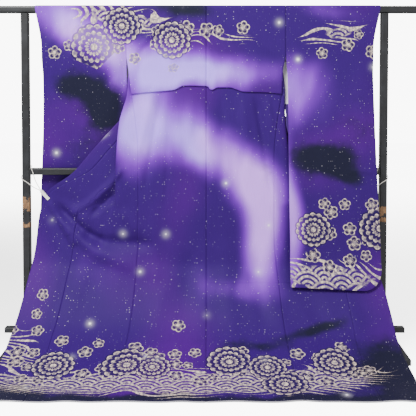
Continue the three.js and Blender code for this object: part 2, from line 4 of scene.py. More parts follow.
import bpy
import numpy as np
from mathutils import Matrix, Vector


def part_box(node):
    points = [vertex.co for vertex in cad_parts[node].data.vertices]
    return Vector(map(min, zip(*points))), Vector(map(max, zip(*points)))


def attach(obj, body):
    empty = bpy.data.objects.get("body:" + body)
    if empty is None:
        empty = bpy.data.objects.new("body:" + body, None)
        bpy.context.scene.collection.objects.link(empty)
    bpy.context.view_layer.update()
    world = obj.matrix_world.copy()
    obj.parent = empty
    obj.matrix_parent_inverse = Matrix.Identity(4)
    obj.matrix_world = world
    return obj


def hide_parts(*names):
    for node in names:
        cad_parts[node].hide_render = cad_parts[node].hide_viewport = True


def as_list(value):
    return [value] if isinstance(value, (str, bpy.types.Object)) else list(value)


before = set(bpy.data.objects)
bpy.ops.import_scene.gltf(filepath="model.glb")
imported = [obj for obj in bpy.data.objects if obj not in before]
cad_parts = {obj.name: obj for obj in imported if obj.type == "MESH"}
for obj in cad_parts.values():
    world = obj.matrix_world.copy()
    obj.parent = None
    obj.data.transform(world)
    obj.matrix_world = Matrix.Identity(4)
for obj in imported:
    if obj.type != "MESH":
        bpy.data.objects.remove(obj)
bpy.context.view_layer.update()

# The rail that everything hangs from
RAIL_LOW, RAIL_HIGH = (Vector(corner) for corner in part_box("top_rail"))
RAIL_Y = (RAIL_LOW.y + RAIL_HIGH.y) / 2
RAIL_TOP = RAIL_HIGH.z
BAR = RAIL_HIGH.z - RAIL_LOW.z

# Cloth sizes; sewn edges press together by -SEAM_LINE, so that a seam is one fine line
WALL = 0.0016
SEAM = 0.0005
SEAM_LINE = -0.00003
RAIL_CORNER = 0.009
WRAP_FLAT = BAR / 2 - RAIL_CORNER
WRAP_RADIUS = RAIL_CORNER + 0.0005 + WALL / 2
WRAP_START = RAIL_CORNER - WRAP_FLAT - WRAP_RADIUS * math.pi / 2
RAIL_SIDE = WRAP_FLAT + WRAP_RADIUS
NECK_HALF = 0.090
CENTRE_SEAM = 0.007
COLLAR_WIDE = 0.052
COLLAR_END = 0.750
TURN_ROUND = 0.046
LEAST_RUN = 0.012
OKUMI_TOP = 0.240
OKUMI_WIDE = 0.150
OKUMI_FULL_AT = 0.600
CUFF_OPENING = 0.230
SLEEVE_LONG = 1.091
SLEEVE_CORNER = 0.076
SLEEVE_ROUND = 0.045
SLEEVE_RISE_FROM = 0.700
HEM = 1.653
HEM_ROLL = 0.0012
HEM_ROLL_WIDE = 0.006
EDGE_SHARE = 0.3
EDGE_WIDE = 0.003
TUCK_EXTRA = 0.070
CLOTH_MAP = "cloth"


def table(names, rows):
    """Columns of a table of millimetres, as arrays in metres by name."""
    return dict(zip(names.split(), np.array(rows, dtype=float).T * 0.001))


# How the back hangs: drop is cloth length below the rail top, out is towards the viewer
HANG = table("drop out z", [
    (9, RAIL_SIDE * 1000, (RAIL_TOP - RAIL_CORNER) * 1000),
    (190, 18, 1104),
    (330, 26, 964),
    (630, 45, 664),
    (890, 56, 404),
    (954, 64, 340),
    (1001, 72, 294),
    (1050, 92, 250),
    (1125, 130, 185),
    (1231, 200, 105),
    (1292, 250, 70),
    (1347, 300, 47),
    (1400, 350, 30),
    (1451, 400, 19),
    (1532, 480, 4),
    (1583, 530, 0.8),
    (1653, 600, 0.8),
])

# Side edge of the back and the fronts
SIDE = table("drop left right", [
    (9, 320, 318),
    (170, 306, 318),
    (190, 306, 318),
    (250, 298, 306),
    (350, 285, 300),
    (450, 270, 284),
    (590, 260, 271),
    (900, 260, 271),
    (1075, 266, 284),
    (1653, 300, 312),
])

# Fronts: side edge, round a fold, back behind it to an inner turn, then out to the free edge
FRONT_COLUMNS = "drop fold turn edge side_in fold_in turn_in edge_in"
FRONT_LEFT = table(FRONT_COLUMNS, [
    (9, 250, 180, 90, 31.6, 31.6, 31.6, 31.6),
    (170, 262, 160, 92, 35.4, 37, 38, 38),
    (260, 299, 130, 138, 16, 22, 34, 39),
    (350, 304, 150, 236, 0, 5, 20, 33),
    (400, 318, 180, 286, 0, 4, 16, 29),
    (452, 332, 212, 338, 0, 4, 14, 26),
    (560, 343, 268, 436, 0, 4, 14, 24),
    (650, 347, 300, 514, 0, 4, 13, 22),
    (739, 348, 328, 624, 0, 4, 12, 24),
    (850, 352, 400, 653, 0, 4, 10, 26),
    (950, 356, 440, 662, 0, 2, 6, 22),
    (1050, 364, 455, 676, 0, 0, 2, 6),
    (1125, 370, 465, 684, 0, 0, 0, 0),
    (1231, 378, 478, 694, 0, 0, 0, 0),
    (1292, 384, 486, 699, 0, 0, 0, 0),
    (1653, 400, 510, 700, 0, 0, 0, 0),
])
FRONT_RIGHT = table(FRONT_COLUMNS, [
    (9, 262, 190, 90, 31.6, 31.6, 31.6, 31.6),
    (170, 272, 165, 92, 35.4, 37, 38, 38),
    (260, 308, 130, 138, 16, 24, 35, 40),
    (350, 314, 150, 236, 0, 12, 24, 34),
    (400, 314, 180, 286, 0, 12, 21, 30),
    (452, 316, 205, 338, 0, 12, 19, 27),
    (560, 328, 258, 436, 0, 12, 18, 25),
    (650, 336, 292, 514, 0, 12, 17, 24),
    (739, 342, 328, 628, 0, 12, 17, 25),
    (850, 356, 400, 655, 0, 12, 18, 26),
    (950, 366, 440, 664, 0, 10, 15, 22),
    (1050, 374, 456, 674, 0, 6, 8, 10),
    (1125, 380, 468, 688, 0, 2, 3, 4),
    (1231, 388, 482, 694, 0, 0, 0, 0),
    (1292, 392, 490, 692, 0, 0, 0, 0),
    (1653, 408, 515, 696, 0, 0, 0, 0),
])

# Waist tuck: length along the cloth, drop, how far out, and share of the edge's rise in thousandths
TUCK = table("cloth drop out hold", [
    (148, 218, 0, 0),
    (192, 262, 0.8, 500),
    (226, 296, 3.6, 900),
    (256, 326, 7.2, 1000),
    (275, 345, 7.8, 1000),
    (279, 347.4, 6.4, 1000),
    (283, 345, 5, 1000),
    (314, 314, 4.6, 1000),
    (317.5, 311.6, 3.2, 1000),
    (321, 314, 1.8, 1000),
    (357, 350, 1, 1000),
    (394, 392, 0, 400),
    (450, 450, 0, 0),
])
# Rise of the tuck's lower edge across the back
TUCK_EDGE = table("x rise", [
    (-300, 0),
    (-220, 9),
    (-121, 18),
    (-80, 35),
    (10, 33),
    (26, 18),
    (52, 28),
    (95, 28),
    (154, 11),
    (227, 9),
    (320, 0),
])

# Sleeves: outer and inner edge, and the middle between the two walls, away from the viewer
SLEEVE_LEFT = table("drop outer inner middle half", [
    (9, 662, 320, 0, RAIL_SIDE * 1000),
    (170, 637, 306, 0, 17.4),
    (300, 637, 306, 7, 12),
    (450, 641, 308, 18, 8),
    (600, 648, 309, 24, 5),
    (760, 655, 311, 25, 5),
    (950, 660, 314, 26, 6),
    (1091, 664, 318, 27, 5),
])
SLEEVE_RIGHT = table("drop outer inner middle half", [
    (9, 686, 318, 0, RAIL_SIDE * 1000),
    (170, 659, 318, 0, 17.4),
    (300, 660, 324, -13, 12),
    (450, 661, 325, -36, 8),
    (600, 665, 326, -51, 5),
    (760, 673, 328, -58, 5),
    (950, 680, 330, -72, 6),
    (1000, 680, 329, -81, 6),
    (1045, 679, 328, -102, 6),
    (1091, 678, 326, -128, 5),
])
# How far the inner end of each sleeve's bottom hangs higher than the outer one
SLEEVE_BOTTOM_RISE = {"left": 0.014, "right": 0.015}

# Folds drawn from each clip across the front: x1 drop1 x2 drop2 wide depth, depth towards the viewer
PULLS = [
    (632, 765, 520, 905, 30, -9),
    (640, 800, 560, 960, 26, 7),
    (600, 735, 440, 800, 32, -7),
    (420, 790, 520, 860, 34, 8),
]
PULL_ENDS = dict(start=0.12, stretch=0.8)
PULL_STRENGTH = {"left": 1.0, "right": 0.6}

# Far wall of each sleeve: how far it runs in behind the armhole, where its lining shows
UNDERLAP = table("drop left right", [
    (190, 0, 0),
    (235, 14, 14),
    (300, 28, 30),
    (345, 30, 24),
    (385, 16, 13),
    (430, 0, 8),
    (455, 0, 8),
    (500, 0, 0),
])

# Soft creases of the body: x1 drop1 x2 drop2 wide depth, depth towards the viewer
BODY_CREASES = [
    (-155, 60, -290, 205, 13, 4.5),
    (-105, 40, -262, 190, 12, -4.5),
    (-60, 120, -150, 255, 18, 3.3),
    (120, 60, 270, 190, 15, 3),
    (70, 90, 200, 240, 16, -3),
    (-173, 372, -226, 680, 15, -10.5),
    (-214, 372, -252, 560, 14, 6.8),
    (-138, 380, -150, 740, 10, -3.9),
    (-112, 375, -96, 620, 20, 4.5),
    (-48, 372, -66, 520, 20, 5.4),
    (62, 372, 80, 540, 18, -4.8),
    (150, 372, 172, 640, 20, 6.8),
    (203, 372, 230, 530, 15, -12),
    (230, 530, 262, 720, 15, -10.5),
    (246, 372, 262, 470, 10, 4.5),
    (-325, 640, -373, 705, 13, 9),
    (-373, 705, -441, 765, 14, 12),
    (-441, 765, -520, 812, 15, 10.5),
    (-352, 735, -440, 815, 14, -12),
    (-608, 775, -540, 880, 14, 12),
    (-540, 880, -505, 930, 16, 10),
    (-575, 790, -465, 890, 19, -18),
    (-465, 890, -395, 922, 21, -18),
    (-395, 922, -215, 930, 24, -15),
    (-556, 838, -430, 955, 24, 14),
    (-430, 955, -280, 1012, 30, 13),
    (-280, 1012, -150, 1030, 36, 6),
    (-320, 800, -262, 880, 22, 6),
    (-196, 800, -190, 1120, 26, 5.2),
    (-150, 1060, -205, 1330, 34, 7.5),
    (-60, 960, -84, 1300, 38, -6.8),
    (74, 940, 104, 1330, 36, 6.8),
    (196, 900, 214, 1240, 26, -6),
    (236, 1080, 330, 1400, 36, 6),
    (-420, 1040, -480, 1330, 38, -7.5),
    (-560, 980, -610, 1280, 30, 6),
    (400, 1130, 470, 1400, 40, -6),
    (540, 1150, 600, 1420, 36, 6),
    (462, 640, 560, 700, 18, -6),
    (430, 900, 560, 860, 22, -6),
]
# Soft creases of the sleeves, in the same columns
SLEEVE_CREASES = [
    (-420, 30, -560, 200, 16, -2.2),
    (-520, 40, -620, 170, 14, 2.0),
    (-350, 60, -372, 420, 22, 2.2),
    (-520, 330, -505, 700, 34, -3.0),
    (-400, 420, -410, 900, 30, 2.5),
    (370, 40, 520, 215, 16, 2.2),
    (450, 30, 610, 160, 14, 2.0),
    (372, 260, 392, 560, 26, 3.0),
    (560, 644, 662, 646, 7, 2.4),
    (470, 420, 462, 820, 36, 3.4),
    (600, 300, 618, 620, 24, 2.6),
    (592, 700, 572, 1010, 34, 3.4),
    (386, 640, 398, 1000, 22, 2.6),
]
# Low waves of the train where it lies on the floor: x drop wide long rise
TRAIN_WAVES = [
    (-610, 1600, 60, 130, 5.0),
    (-420, 1630, 44, 90, 3.4),
    (-250, 1560, 70, 120, 5.0),
    (-70, 1640, 40, 60, 2.6),
    (96, 1590, 64, 110, 4.4),
    (300, 1640, 50, 70, 5.0),
    (410, 1540, 60, 120, 4.0),
    (600, 1610, 56, 110, 5.0),
]

SIDES = {"left": -1, "right": 1}


def smooth(low, high, value):
    """Smooth step from 0 at low to 1 at high; high may be the smaller."""
    t = np.clip((value - low) / (high - low), 0, 1)
    return t * t * (3 - 2 * t)


def hermite(t, start, start_slope, end, end_slope):
    """Cubic from start to end as t goes from 0 to 1, with the given slopes."""
    return ((2 * t**3 - 3 * t**2 + 1) * start + (t**3 - 2 * t**2 + t) * start_slope
            + (3 * t**2 - 2 * t**3) * end + (t**3 - t**2) * end_slope)


def curve(knots, values, at):
    """Monotone cubic curve through values at knots."""
    at = np.clip(at, knots[0], knots[-1])
    i = np.clip(np.searchsorted(knots, at, side="right") - 1, 0, len(knots) - 2)
    spans = np.diff(knots)
    rises = np.diff(values) / spans
    before, after = rises[:-1], rises[1:]
    both = np.where(before * after > 0, before * after, 0)
    inner = 2 * both / np.where(both > 0, before + after, 1)
    slopes = np.concatenate([rises[:1], inner, rises[-1:]])
    t = (at - knots[i]) / spans[i]
    return hermite(t, values[i], spans[i] * slopes[i], values[i + 1], spans[i] * slopes[i + 1])


def column(source, name, drop, key="drop"):
    """A table's column, as a smooth curve along its first column."""
    return curve(source[key], source[name], drop)


def over_rail(drop, side):
    """Depth and height of cloth where it lies over the rail; side is -1 towards the viewer."""
    along = drop - WRAP_START
    angle = np.maximum(along - WRAP_FLAT, 0) / WRAP_RADIUS
    deep = np.where(along <= WRAP_FLAT, along, WRAP_FLAT + WRAP_RADIUS * np.sin(angle))
    high = RAIL_TOP - RAIL_CORNER + WRAP_RADIUS * np.cos(angle)
    return side * deep, high


def pulls(x, drop):
    """Depth of the folds drawn from a clip."""
    total = np.zeros_like(x)
    for x1, drop1, x2, drop2, wide, depth in np.array(PULLS, dtype=float) * 0.001:
        ax, ay = x2 - x1, drop2 - drop1
        t = np.clip(((x - x1) * ax + (drop - drop1) * ay) / (ax**2 + ay**2), 0, 1)
        away = np.hypot(x - x1 - t * ax, drop - drop1 - t * ay) / wide
        shape = np.sin(math.pi * (PULL_ENDS["start"] + PULL_ENDS["stretch"] * t))
        total += depth * shape * np.exp(-away**2)
    return total


def creases(lines, x, drop):
    """Sum of soft troughs and ridges along straight lines, strongest along their middles."""
    depth = np.zeros(np.broadcast(x, drop).shape)
    for x1, drop1, x2, drop2, wide, high in np.array(lines, dtype=float) * 0.001:
        ax, ay = x2 - x1, drop2 - drop1
        t = ((x - x1) * ax + (drop - drop1) * ay) / (ax**2 + ay**2)
        off = ((x - x1) * ay - (drop - drop1) * ax) / math.hypot(ax, ay) / wide
        end = smooth(-0.25, 0.25, t) * smooth(1.25, 0.75, t)
        depth += high * end * np.exp(-off**2)
    return depth


def waves(x, drop):
    """Height of the train's low waves above the floor."""
    high = np.zeros(np.broadcast(x, drop).shape)
    for at, middle, wide, long, rise in np.array(TRAIN_WAVES, dtype=float) * 0.001:
        high += rise * np.exp(-((x - at) / wide) ** 2 - ((drop - middle) / long) ** 2)
    return high


def body_shape(x, drop, near_side):
    """Depth and height of the body's creases and waves; none over the rail or at a sleeve seam."""
    calm = smooth(0.010, 0.060, drop) * np.where(drop < 0.360, smooth(0.002, 0.050, near_side), 1)
    depth = creases(BODY_CREASES, x, drop) * calm
    # Under the right sleeve no crease stands towards the viewer
    under_sleeve = smooth(0.300, 0.330, x) * smooth(1.130, 1.080, drop)
    return np.where(depth > 0, depth * (1 - under_sleeve), depth), waves(x, drop)


def steps(start, end, size):
    """Even rows from start to end, about size apart."""
    count = max(1, round((end - start) / size))
    return np.linspace(start, end, count + 1)


def stack(x, y, z):
    """Points of a grid, with depth measured from the rail's middle plane."""
    x, y, z = np.broadcast_arrays(x, y, z)
    return np.stack([x, y + RAIL_Y, z], axis=-1)


# Garment surfaces as grids: each returns points and their places on the flat cloth, across and along
def back_grid(side_name, cloth):
    """cloth is the length along the back; above the tuck it is TUCK_EXTRA less than the drop."""
    side = SIDES[side_name]
    above = cloth < TUCK["cloth"][0]
    below = cloth > TUCK["cloth"][-1]
    inside = (cloth > TUCK["cloth"][0]) & (cloth < TUCK["cloth"][-1])
    in_tuck = column(TUCK, "drop", cloth, "cloth")
    drop = np.where(above, cloth + TUCK_EXTRA, np.where(below, cloth, in_tuck))
    out = np.where(inside, column(TUCK, "out", cloth, "cloth"), 0)
    hold = np.where(inside, column(TUCK, "hold", cloth, "cloth"), 0)
    edge = side * column(SIDE, side_name, drop)
    across = np.linspace(0, 1, BACK_COLUMNS + 1)[None, :]
    inset = SEAM_LINE / np.abs(edge - CENTRE_SEAM)[:, None]
    x = CENTRE_SEAM + (edge[:, None] - CENTRE_SEAM) * (inset + across * (1 - 2 * inset))
    held = drop[:, None] - hold[:, None] * column(TUCK_EDGE, "rise", x, "x")
    wrap_y, wrap_z = over_rail(drop, -1)
    on_rail = (drop < RAIL_CORNER)[:, None]
    y = np.where(on_rail, wrap_y[:, None], -column(HANG, "out", held) - out[:, None])
    depth, rise = body_shape(x, held, np.abs(edge[:, None] - x))
    y = y - depth
    z = np.where(on_rail, wrap_z[:, None], column(HANG, "z", held)) + rise
    dye = np.stack(np.broadcast_arrays(x - CENTRE_SEAM, cloth[:, None]), axis=-1)
    return stack(x, y, z), dye


def front_sections(side_name, drop):
    """At each row: the four knots' x and depth, the length to each, and how round the two turns are."""
    source = FRONT_LEFT if side_name == "left" else FRONT_RIGHT
    row = np.maximum(drop, RAIL_CORNER)
    side_edge = column(SIDE, side_name, row)
    x = np.stack([side_edge] + [column(source, n, row) for n in ("fold", "turn", "edge")])
    behind = np.stack([column(source, n, row) for n in ("side_in", "fold_in", "turn_in", "edge_in")])
    runs = np.maximum(np.hypot(np.diff(x, axis=0), np.diff(behind, axis=0)), LEAST_RUN)
    length = np.concatenate([np.zeros((1, x.shape[1])), np.cumsum(runs, axis=0)])
    doubled = smooth(-0.020, 0.040, x[1] - x[2])
    turn = np.stack([doubled * smooth(0, 0.012, x[1] - x[0]), doubled * smooth(0, 0.040, x[3] - x[2])])
    return x, behind, length, turn


def front_width(side_name, drop):
    """Cloth width of the whole front, from its side edge to the free edge."""
    return front_sections(side_name, drop)[2][3]


def collar_seam(side_name, drop):
    """Place of the collar's seam on that width."""
    wide = COLLAR_WIDE * (1 - 0.8 * smooth(COLLAR_END - 0.120, COLLAR_END, drop))
    return front_width(side_name, drop) - np.where(drop > COLLAR_END, 0, wide)


def okumi_seam(side_name, drop):
    """Place of the overlap panel's seam on that width."""
    wide = np.maximum(0.006, OKUMI_WIDE * smooth(OKUMI_TOP - 0.060, OKUMI_FULL_AT, drop))
    return collar_seam(side_name, drop) - wide


def front_grid(side_name, drop, start, end, columns):
    side = SIDES[side_name]
    xs, behinds, lengths, turns = front_sections(side_name, drop)
    points = np.zeros((len(drop), columns + 1, 3))
    dye = np.zeros((len(drop), columns + 1, 2))
    wrap_y, wrap_z = over_rail(drop, 1)
    for i, row in enumerate(drop):
        length = np.linspace(start[i], end[i], columns + 1)
        knots = lengths[:, i]
        x = curve(knots, xs[:, i], length)
        at = np.clip(np.searchsorted(knots, length, side="right") - 1, 0, 2)
        spans = np.diff(knots)[at]
        natural = (behinds[2:, i] - behinds[:-2, i]) / (knots[2:] - knots[:-2])

        def slope(k):
            inner = np.clip(k - 1, 0, 1)
            mixed = spans * natural[inner] * (1 - turns[inner, i]) + TURN_ROUND * turns[inner, i]
            return np.where((k == 0) | (k == 3), 0, mixed)

        t = (length - knots[at]) / spans
        behind = hermite(t, behinds[at, i], slope(at), behinds[at + 1, i], slope(at + 1))
        if row < RAIL_CORNER:
            y, z = wrap_y[i], wrap_z[i]
        else:
            out = column(HANG, "out", row) - behind + PULL_STRENGTH[side_name] * pulls(x, row)
            depth, rise = body_shape(side * x, row, length)
            y, z = -out - depth * smooth(0.330, 0.380, row), column(HANG, "z", row) + rise
        points[i] = stack(side * x, y, z)
        across = side * (xs[0, i] + length) - CENTRE_SEAM
        dye[i] = np.stack(np.broadcast_arrays(across, row), axis=-1)
    return points, dye


def rounded(near):
    """Share of the full opening at a distance from a closed edge."""
    return np.sqrt(1 - (1 - np.clip(near / SLEEVE_ROUND, 0, 1)) ** 2)


def sleeve_grid(side_name, layer, drop, across):
    """layer is -1 for the wall towards the viewer and 1 for the far one."""
    side = SIDES[side_name]
    source = SLEEVE_LEFT if side_name == "left" else SLEEVE_RIGHT
    row = np.maximum(drop, RAIL_CORNER)[:, None]
    inner, outer, middle, full = (column(source, n, row) for n in ("inner", "outer", "middle", "half"))
    above = (SLEEVE_LONG - drop)[:, None]
    low = np.clip(SLEEVE_CORNER - above, 0, SLEEVE_CORNER)
    inset = SLEEVE_CORNER - np.sqrt(SLEEVE_CORNER**2 - low**2)
    reach = column(UNDERLAP, side_name, row) if layer > 0 else 0
    inner = inner + SEAM_LINE - reach
    x = inner + (outer - inset - inner) * across[None, :]
    wrap_y, wrap_z = over_rail(drop, layer)
    closed = (WALL + SEAM) / 2
    sewn = smooth(CUFF_OPENING - 0.030, CUFF_OPENING + 0.050, drop)[:, None]
    open_by = rounded(above) * (1 + sewn * (rounded(outer - inset - x) - 1))
    half = closed + (full - closed) * open_by
    low_down = smooth(SLEEVE_RISE_FROM, SLEEVE_LONG, drop)[:, None]
    rise = SLEEVE_BOTTOM_RISE[side_name] * low_down * (1 - across)[None, :]
    on_rail = (drop < RAIL_CORNER)[:, None]
    calm = smooth(0.010, 0.060, drop)[:, None] * smooth(0.002, 0.040, np.abs(x - inner))
    depth = calm * creases(SLEEVE_CREASES, side * x, drop[:, None])
    y = np.where(on_rail, wrap_y[:, None], middle + layer * half - depth)
    z = np.where(on_rail, wrap_z[:, None], RAIL_TOP - drop[:, None] + rise)
    along = -layer * drop[:, None] - TUCK_EXTRA
    dye = np.stack(np.broadcast_arrays(side * x - CENTRE_SEAM, along), axis=-1)
    return stack(side * x, y, z), dye


def taper(from_edge):
    """Share of the full wall at distances from an edge, in metres: the wall thins to a rounded edge."""
    return EDGE_SHARE + (1 - EDGE_SHARE) * smooth(0, EDGE_WIDE, from_edge)


def grid_normals(points):
    """Unit normal at each grid point."""
    down = np.gradient(points, axis=0)
    across = np.gradient(points, axis=1)
    normal = np.cross(down, across)
    return normal / np.maximum(np.linalg.norm(normal, axis=2, keepdims=True), 1e-12)


def edge_distance(points):
    """Distance of each grid point from the nearest side edge, measured along its row."""
    steps_across = np.linalg.norm(np.diff(points, axis=1), axis=2)
    length = np.concatenate([np.zeros((points.shape[0], 1)), np.cumsum(steps_across, axis=1)], axis=1)
    return np.minimum(length, length[:, -1:] - length)


def shell(name, points, dye, facing, materials):
    """A thin wall round a grid of middle points: the outer face, the lining face and the edges."""
    rows, columns, _ = points.shape
    half = WALL / 2 * taper(edge_distance(points))[:, :, None]
    roll = HEM_ROLL * np.exp(-((HEM - dye[:, :, 1:2]) / HEM_ROLL_WIDE) ** 2)
    normal = facing * grid_normals(points) * (half + roll)
    middle = points + [0, 0, 1] * roll
    verts = np.concatenate([(middle + normal).reshape(-1, 3), (middle - normal).reshape(-1, 3)])
    ids = np.arange(rows * columns).reshape(rows, columns)
    a, b, c, d = ids[:-1, :-1], ids[1:, :-1], ids[1:, 1:], ids[:-1, 1:]
    count = rows * columns
    outer = np.stack([a, b, c, d], axis=-1).reshape(-1, 4)
    inner = outer[:, ::-1] + count
    rims = []
    for line, turn in ((ids[:, 0], 1), (ids[:, -1], -1), (ids[0], -1), (ids[-1], 1)):
        quads = np.stack([line[:-1], line[:-1] + count, line[1:] + count, line[1:]], axis=-1)
        rims.append(quads[:, ::turn])
    faces = np.concatenate([outer, inner] + rims)
    if facing < 0:
        faces = faces[:, ::-1]
    mesh = bpy.data.meshes.new(name)
    mesh.from_pydata(verts.tolist(), [], faces.tolist())
    index = np.zeros(len(faces), dtype=np.int32)
    index[len(outer):2 * len(outer)] = 1
    mesh.polygons.foreach_set("material_index", index)
    mesh.polygons.foreach_set("use_smooth", np.ones(len(faces), dtype=bool))
    uv = mesh.uv_layers.new(name=CLOTH_MAP)
    flat = np.tile(dye.reshape(-1, 2), (2, 1))
    uv.data.foreach_set("uv", flat[faces.ravel()].ravel())
    for material in materials:
        mesh.materials.append(material)
    piece = bpy.data.objects.new(name, mesh)
    bpy.context.collection.objects.link(piece)
    return piece


def cut_size(dye):
    """Width, length and area of a piece's flat cut, from its cloth coordinates."""
    wide = np.abs(dye[:, -1, 0] - dye[:, 0, 0])
    long = dye[:, 0, 1].max() - dye[:, 0, 1].min()
    area = abs(np.trapz(wide, dye[:, 0, 1]))
    return float(wide.max()), float(long), float(area)


def cloth(node, points, dye, facing, materials, rests_on):
    """One piece of cloth: its shell, in place of the imported part that it stands for."""
    piece = shell(node + "_silk", points, dye, facing, materials)
    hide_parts(node)
    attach(piece, "root")
    wide, long, area = cut_size(dye)
    min(area, wide * long)
    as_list(rests_on)
    return piece


class Field:
    """A shader value that combines with others by arithmetic."""

    def __init__(self, tree, socket):
        self.tree = tree
        self.socket = socket

    def math(self, operation, *others):
        node = self.tree.nodes.new("ShaderNodeMath")
        node.operation = operation
        for slot, value in zip(node.inputs, (self, *others)):
            self.feed(slot, value)
        return Field(self.tree, node.outputs[0])

    def feed(self, slot, value):
        if isinstance(value, Field):
            self.tree.links.new(value.socket, slot)
        else:
            slot.default_value = value

    def __neg__(self):
        return self.math("MULTIPLY", -1.0)

    def bell(self):
        """exp(-x^2) of this value."""
        return (-(self * self)).math("EXPONENT")

    def ease(self, low, high):
        """Smooth step from 0 at low to 1 at high."""
        node = self.tree.nodes.new("ShaderNodeMapRange")
        node.interpolation_type = "SMOOTHSTEP"
        falling = high < low
        self.feed(node.inputs["Value"], self)
        node.inputs["From Min"].default_value = high if falling else low
        node.inputs["From Max"].default_value = low if falling else high
        node.inputs["To Min"].default_value = 1.0 if falling else 0.0
        node.inputs["To Max"].default_value = 0.0 if falling else 1.0
        return Field(self.tree, node.outputs["Result"])


def method_for(operation):
    """A method of Field that applies one math operation to it and the others given."""
    return lambda field, *others: field.math(operation, *others)


METHODS = dict(
    __add__="ADD", __sub__="SUBTRACT", __mul__="MULTIPLY", __truediv__="DIVIDE", __abs__="ABSOLUTE",
    sin="SINE", cos="COSINE", sqrt="SQRT", floor="FLOOR", fract="FRACT", turn="ARCTAN2",
    least="MINIMUM", most="MAXIMUM", below="LESS_THAN",
)
for method, operation in METHODS.items():
    setattr(Field, method, method_for(operation))

TURN = 2 * math.pi
# Lines pressed into the silk by folding for storage
PRESSED = dict(along=1.073, across=0.136, wide=0.0022, high=0.001)
# Sizes of motifs and specks on the cloth; cells are counted for each metre
FLOWER_CELL = 0.19
FLOWER_PETALS = 15
FLOWER_RINGS = 3.6
BLOSSOM_CELL = 0.082
BLOSSOM_PETALS = 5
BLOSSOM_SHIFT = (0.31, 0.17)
FAN_RADIUS = 0.064
SPECK_CELLS = 112.0
STAR_CELLS = 5.6
YARN_PITCH = 0.0016
CREPE_SCALE = 900.0


def long_way(x, y):
    """Length of the vector (x, y)."""
    return (x * x + y * y).sqrt()


class Paint:
    """A material's node tree, with the few calls that the looks here need."""

    def __init__(self, name):
        self.material = bpy.data.materials.new(name)
        self.material.use_nodes = True
        self.tree = self.material.node_tree
        self.shader = self.tree.nodes["Principled BSDF"]

    def node(self, kind, **values):
        made = self.tree.nodes.new(kind)
        for key, value in values.items():
            setattr(made, key, value)
        return made

    def join(self, *parts):
        made = self.node("ShaderNodeCombineXYZ")
        for slot, value in zip(made.inputs, parts):
            if isinstance(value, Field):
                self.tree.links.new(value.socket, slot)
            else:
                slot.default_value = value
        return made.outputs[0]

    def split(self, socket):
        made = self.node("ShaderNodeSeparateXYZ")
        self.tree.links.new(socket, made.inputs[0])
        return [Field(self.tree, out) for out in made.outputs]

    def noise(self, vector, scale, detail=2.0, rough=0.5, flat=True):
        made = self.node("ShaderNodeTexNoise", noise_dimensions="2D" if flat else "3D")
        self.tree.links.new(vector, made.inputs["Vector"])
        made.inputs["Scale"].default_value = scale
        made.inputs["Detail"].default_value = detail
        made.inputs["Roughness"].default_value = rough
        return Field(self.tree, made.outputs[0])

    def cells(self, vector, scale, randomness=1.0):
        """Nearest scattered point: its distance, its place and three random values."""
        made = self.node("ShaderNodeTexVoronoi", voronoi_dimensions="2D")
        self.tree.links.new(vector, made.inputs["Vector"])
        made.inputs["Scale"].default_value = scale
        made.inputs["Randomness"].default_value = randomness
        distance = Field(self.tree, made.outputs["Distance"])
        return distance, self.split(made.outputs["Position"]), self.split(made.outputs["Color"])

    def mix(self, factor, first, second):
        made = self.node("ShaderNodeMix", data_type="RGBA")
        self.tree.links.new(factor.socket, made.inputs[0])
        for slot, value in ((made.inputs[6], first), (made.inputs[7], second)):
            if isinstance(value, tuple):
                slot.default_value = (*value, 1)
            else:
                self.tree.links.new(value, slot)
        return made.outputs[2]

    def set(self, **values):
        for key, value in values.items():
            slot = self.shader.inputs[key.replace("_", " ")]
            if isinstance(value, Field):
                self.tree.links.new(value.socket, slot)
            elif isinstance(value, bpy.types.NodeSocket):
                self.tree.links.new(value, slot)
            else:
                slot.default_value = value

    def bump(self, height, distance, strength=1.0):
        made = self.node("ShaderNodeBump")
        made.inputs["Strength"].default_value = strength
        made.inputs["Distance"].default_value = distance
        self.tree.links.new(height.socket, made.inputs["Height"])
        self.set(Normal=made.outputs[0])


def srgb(text):
    """Linear colour of a six-figure colour code."""
    values = [int(text[i:i + 2], 16) / 255 for i in (0, 2, 4)]
    return tuple(v / 12.92 if v <= 0.04045 else ((v + 0.055) / 1.055) ** 2.4 for v in values)


INK = srgb("2f0c60")
VIOLET = srgb("440770")
BRIGHT = srgb("7b2dc0")
GLOW = srgb("cd90ff")
GLOW_BLUE = srgb("ab88ff")
SLATE = srgb("16172c")
SILVER = srgb("efdcbf")
SILVER_SHADE = srgb("93868c")
WHITE = srgb("fbf7ff")
LINING = srgb("e2e0e6")
LACQUER = srgb("0e0f12")
LACQUER_DULL = srgb("1d1f23")
RUBBED = srgb("4a4a48")
WOOD = srgb("a98158")
WOOD_DARK = srgb("6b4a30")
PLASTIC = srgb("f1efe9")
PLASTIC_SCUFFED = srgb("dedad0")
COTTON = srgb("f4f1ea")
COTTON_PAINTED_SHADE = srgb("cfcac0")


